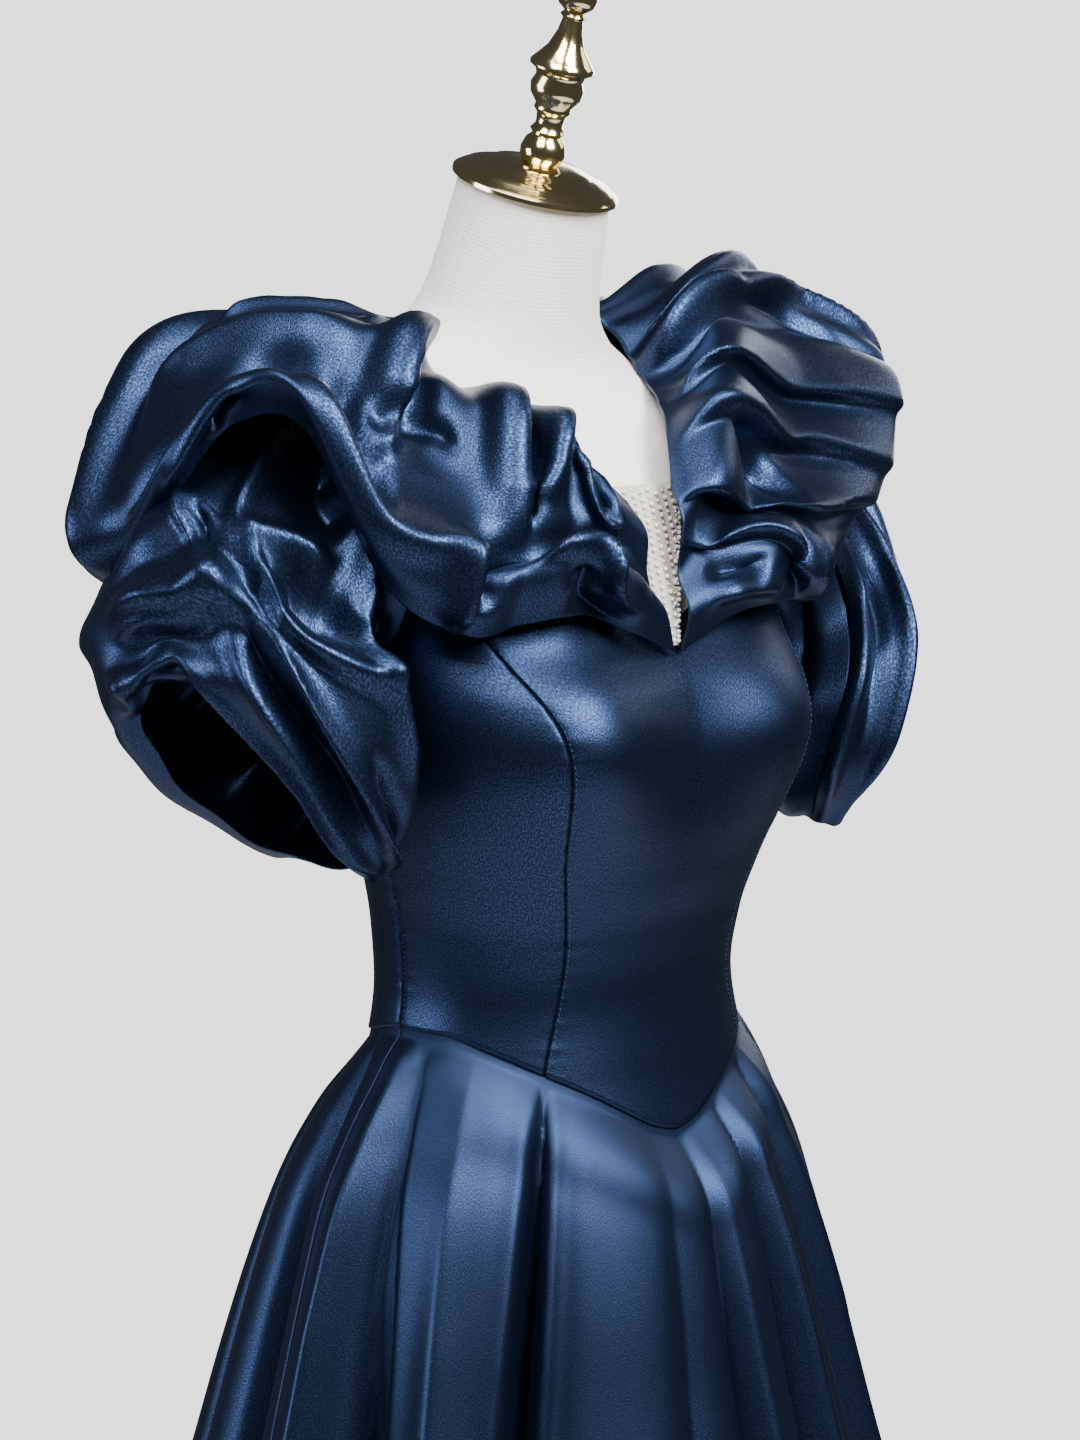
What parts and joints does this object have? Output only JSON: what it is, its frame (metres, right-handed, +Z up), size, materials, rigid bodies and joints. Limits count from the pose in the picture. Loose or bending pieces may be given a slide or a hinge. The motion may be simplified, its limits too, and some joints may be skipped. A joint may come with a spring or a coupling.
{
  "type": "satin prom dress on a limbless dress form",
  "caption": "Full-length satin evening gown with a fitted basque bodice, swagged shoulder collar, balloon sleeves and full pleated skirt, standing on a limbless linen-covered dress form",
  "frame": {"origin": "centre of the foot's underside, on the floor under the pole", "axes": "+Z up, the dress faces -Y, and +X is towards the wearer's left"},
  "size_m": [0.872, 0.8439, 1.66],
  "materials": {
    "satin": "navy duchess satin with a soft broad sheen",
    "beaded_net": "ivory net covered in rows of pearls and clear stones",
    "linen": "natural linen with slubs",
    "polished_gold": "polished, gold coloured"
  },
  "bodies": {
    "root": {"bodice_front": "satin", "bodice_side_front_left": "satin", "bodice_side_front_right": "satin", "bodice_side_back_left": "satin", "bodice_side_back_right": "satin", "bodice_back_left": "satin", "bodice_back_right": "satin", "collar_left": "satin", "collar_right": "satin", "sleeve_left": "satin", "sleeve_right": "satin", "skirt_front": "satin", "skirt_back_left": "satin", "skirt_back_right": "satin", "v_insert": "beaded_net", "form_torso": "linen", "neck_cap": "polished_gold", "finial": "polished_gold", "pole": "polished_gold", "foot": "polished_gold"}
  },
  "joints": []
}
